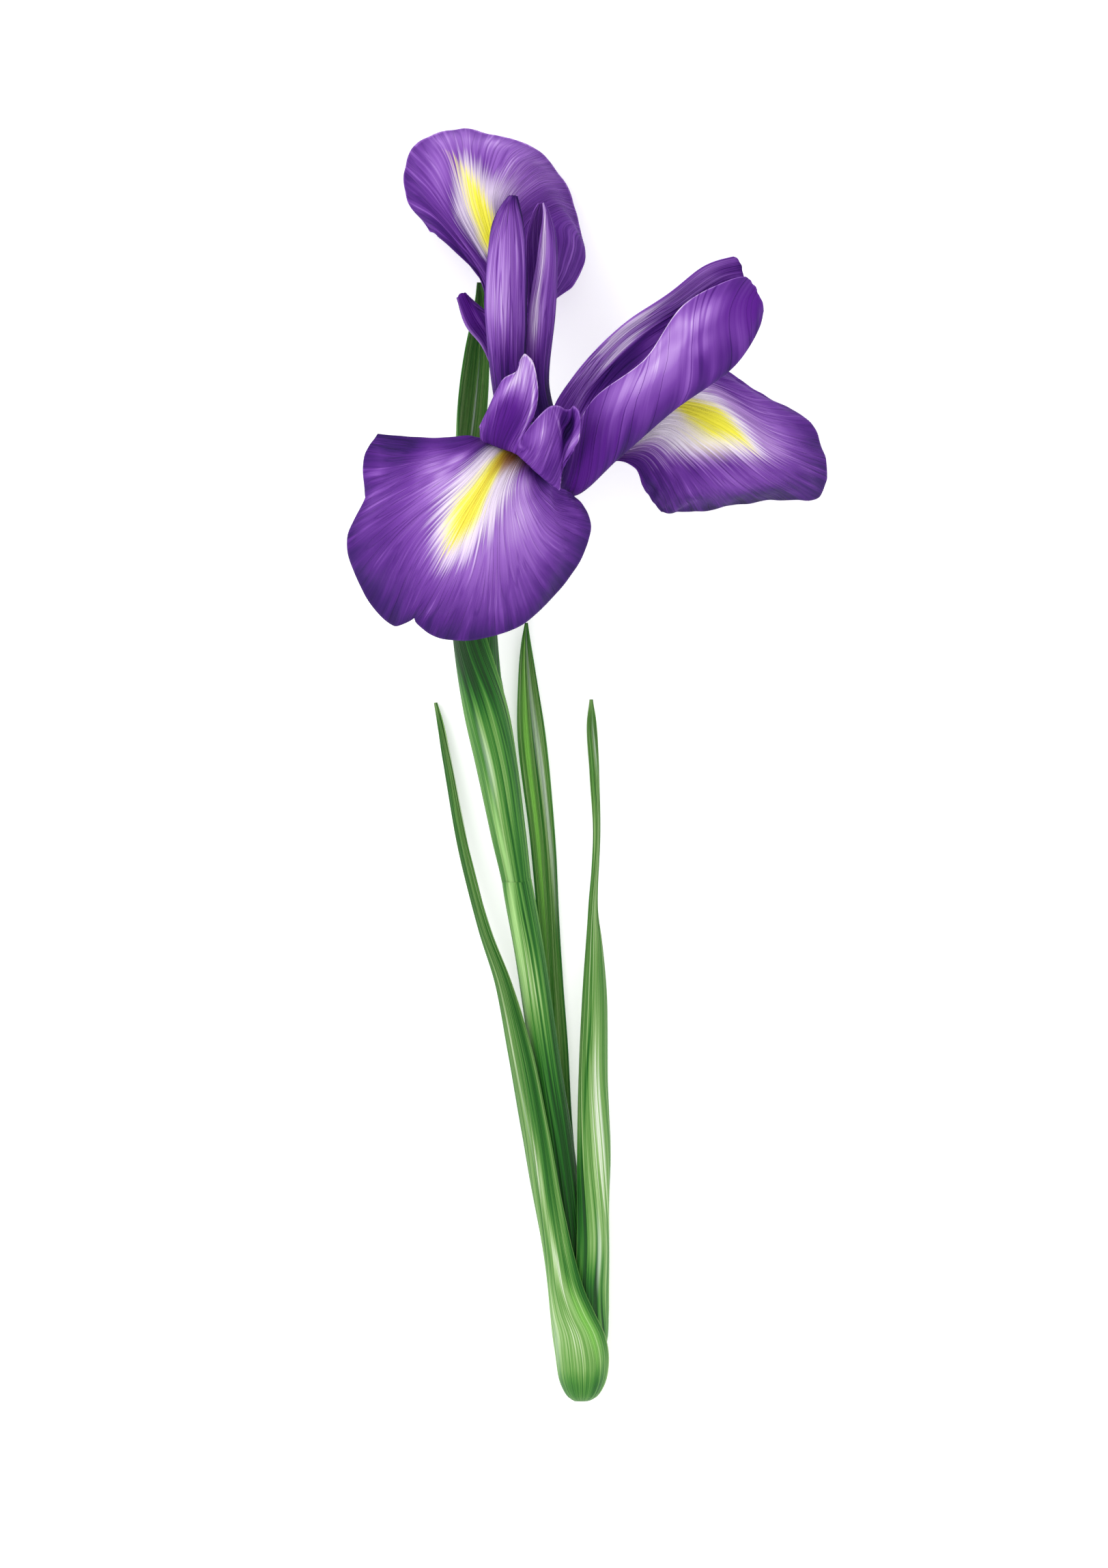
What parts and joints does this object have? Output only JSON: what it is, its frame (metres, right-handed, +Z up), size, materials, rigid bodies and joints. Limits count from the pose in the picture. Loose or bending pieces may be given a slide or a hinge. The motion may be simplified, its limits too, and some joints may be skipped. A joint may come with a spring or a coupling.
{
  "type": "iris flower",
  "caption": "Cut iris lying on a surface: broad drooping falls with a pale signal, narrow upright standards, style crests, green spathe, slender stem and sheathing leaves.",
  "frame": {"origin": "on the surface the flower lies on, below the middle of its bounding box", "axes": "+Y from the cut base of the stem to the bloom, +X to the right of the bloom, +Z up from the surface"},
  "size_m": [0.1065, 0.2809, 0.0668],
  "materials": {
    "fall_petal": "velvety deep violet petal, yellow signal with a white edge",
    "standard_petal": "soft violet petal with paler streaks",
    "style_arm": "soft light violet petal with pale rims",
    "stamen": "dull cream with pollen",
    "stem_green": "smooth satin green",
    "spathe_green": "satin dark green",
    "leaf_green": "satin green with pale streaks"
  },
  "bodies": {
    "root": {"fall_front": "fall_petal", "fall_right": "fall_petal", "fall_back": "fall_petal", "standard_left": "standard_petal", "standard_back": "standard_petal", "standard_leaning": "standard_petal", "style_arm_front": "style_arm", "style_arm_right": "style_arm", "style_arm_back": "style_arm", "stamen_front": "stamen", "stamen_right": "stamen", "stamen_back": "stamen", "ovary": "spathe_green", "flower_stem": "stem_green", "spathe_outer": "spathe_green", "spathe_inner": "spathe_green", "leaf_left": "leaf_green", "leaf_middle": "leaf_green", "leaf_right": "leaf_green"}
  },
  "joints": []
}
